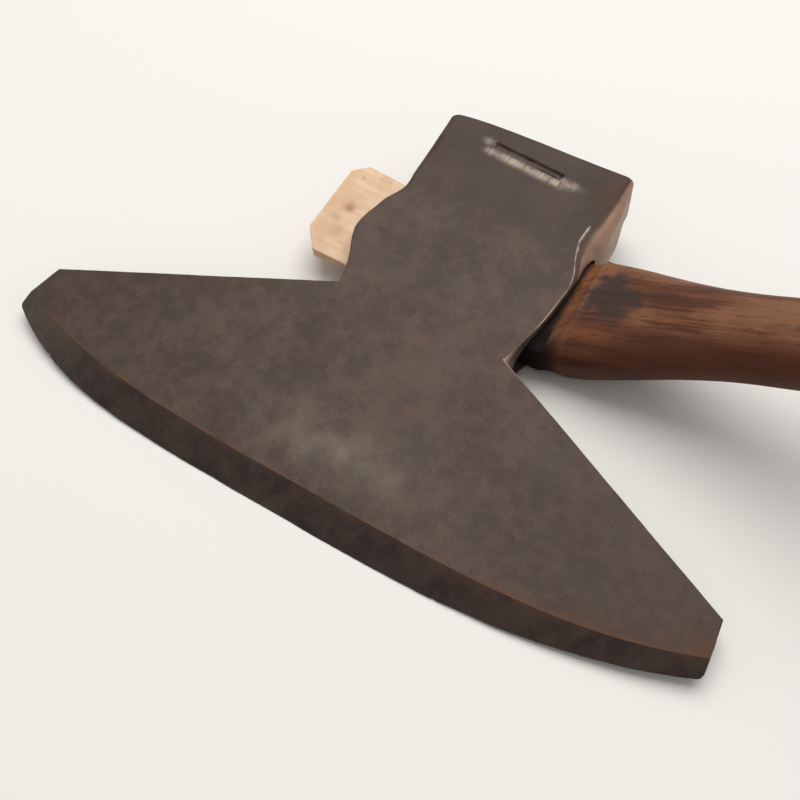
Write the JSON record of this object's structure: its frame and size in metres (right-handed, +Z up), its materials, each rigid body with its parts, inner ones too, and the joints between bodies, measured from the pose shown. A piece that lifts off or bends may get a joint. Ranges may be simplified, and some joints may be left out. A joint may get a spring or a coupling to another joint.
{
  "type": "broad axe",
  "caption": "Broad axe with a wide single-bevel blade, lugged eye, hammer poll, offset wooden haft and a driven wooden wedge.",
  "frame": {"origin": "middle of the flat pad under the eye, on the ground plane the axe lies on", "axes": "+X along the eye towards the grip, +Y from the cutting edge towards the poll, +Z up; the axe lies on its cutting edge and pad with its flat bevelled face up"},
  "size_m": [0.613, 0.1991, 0.1246],
  "materials": {
    "forged_iron": "dark brown patina, fine pitting",
    "edge_steel": "darkened steel, honed long ago",
    "haft_wood": "hand-darkened, waxed by use",
    "wedge_wood": "raw, pale, slightly stained"
  },
  "bodies": {
    "root": {"head_body": "forged_iron", "steel_bit": "edge_steel", "haft": "haft_wood", "wedge": "wedge_wood"}
  },
  "joints": []
}
